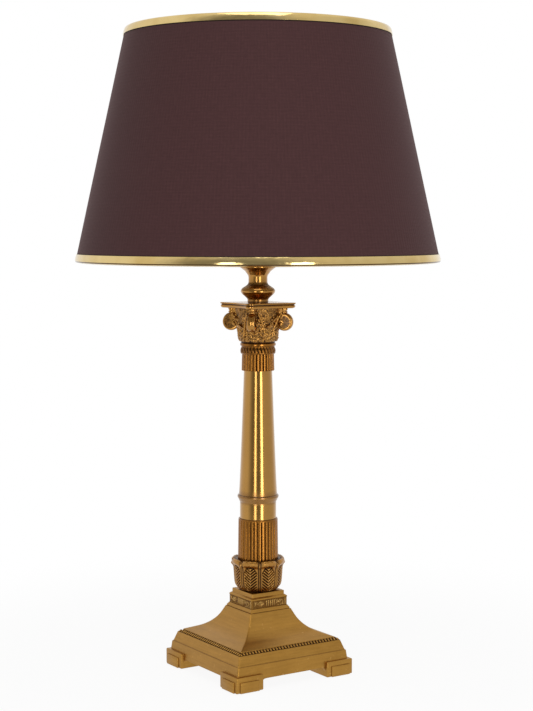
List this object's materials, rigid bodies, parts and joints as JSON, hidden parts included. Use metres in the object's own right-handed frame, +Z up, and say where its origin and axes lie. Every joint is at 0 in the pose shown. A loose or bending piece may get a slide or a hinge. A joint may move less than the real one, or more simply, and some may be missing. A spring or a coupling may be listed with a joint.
{
  "type": "column table lamp",
  "caption": "Table lamp with a square bracket-footed base, a classical column with scrolled capital and a round tapered fabric shade.",
  "frame": {"origin": "on the floor plane under the middle of the square base", "axes": "+Z up along the column; the base sides lie along X and Y; the cord inlet is in the +Y side"},
  "size_m": [0.3535, 0.3536, 0.6258],
  "materials": {
    "brass_satin": "satin, softly worn",
    "brass_polished": "polished",
    "brass_antique": "cast, antique patina in the hollows",
    "brass_holder": "lacquered",
    "brass_contact": "bright",
    "steel": "zinc plated",
    "ceramic": "glazed ceramic",
    "black_glass": "gloss",
    "bulb_cap_metal": "satin",
    "opal_glass": "opal",
    "shade_fabric": "fine linen weave, dark brown",
    "shade_liner": "matt lining",
    "gold_trim": "glossy gold foil band",
    "shade_wire": "white painted wire",
    "felt": "dense felt",
    "bush_plastic": "moulded"
  },
  "bodies": {
    "lamp": {"base_casting": "brass_satin", "pedestal_block": "brass_satin", "column_shaft": "brass_polished", "shaft_band": "brass_polished", "leaf_cup": "brass_antique", "fluted_drum": "brass_antique", "fluted_collar": "brass_antique", "bead_ring": "brass_antique", "astragal": "brass_antique", "capital": "brass_antique", "abacus": "brass_antique", "neck_spindle": "brass_antique", "felt_pads": "felt", "cord_bush": "bush_plastic", "tie_rod": "steel", "tie_rod_nut": "steel", "tie_rod_washer": "steel", "terminal_screws": "steel", "lampholder_cap": "brass_holder", "lampholder_shell": "brass_holder", "lampholder_insert": "ceramic", "screw_shell": "brass_contact", "centre_contact": "brass_contact"},
    "shade": {"shade_fabric": "shade_fabric", "shade_liner": "shade_liner", "shade_trim_top": "gold_trim", "shade_trim_bottom": "gold_trim", "shade_top_wire": "shade_wire", "shade_bottom_wire": "shade_wire", "shade_carrier": "shade_wire"},
    "clamp": {"clamp_ring": "brass_holder"},
    "bulb": {"bulb_contact": "brass_contact", "bulb_insulator": "black_glass", "bulb_cap": "bulb_cap_metal", "bulb_glass": "opal_glass"}
  },
  "joints": [
    {"name": "shade_turn", "type": "hinge", "parent": "lamp", "child": "shade", "pos_m": [0, 0, 0.4201], "axis": [0, 0, 1], "continuous": true},
    {"name": "clamp_ring_turn", "type": "hinge", "parent": "lamp", "child": "clamp", "pos_m": [0, 0, 0.4224], "axis": [0, 0, 1], "range_deg": [0, 1080]},
    {"name": "bulb_turn", "type": "hinge", "parent": "lamp", "child": "bulb", "pos_m": [0, 0, 0.4258], "axis": [0, 0, 1], "range_deg": [0, 1080]}
  ]
}
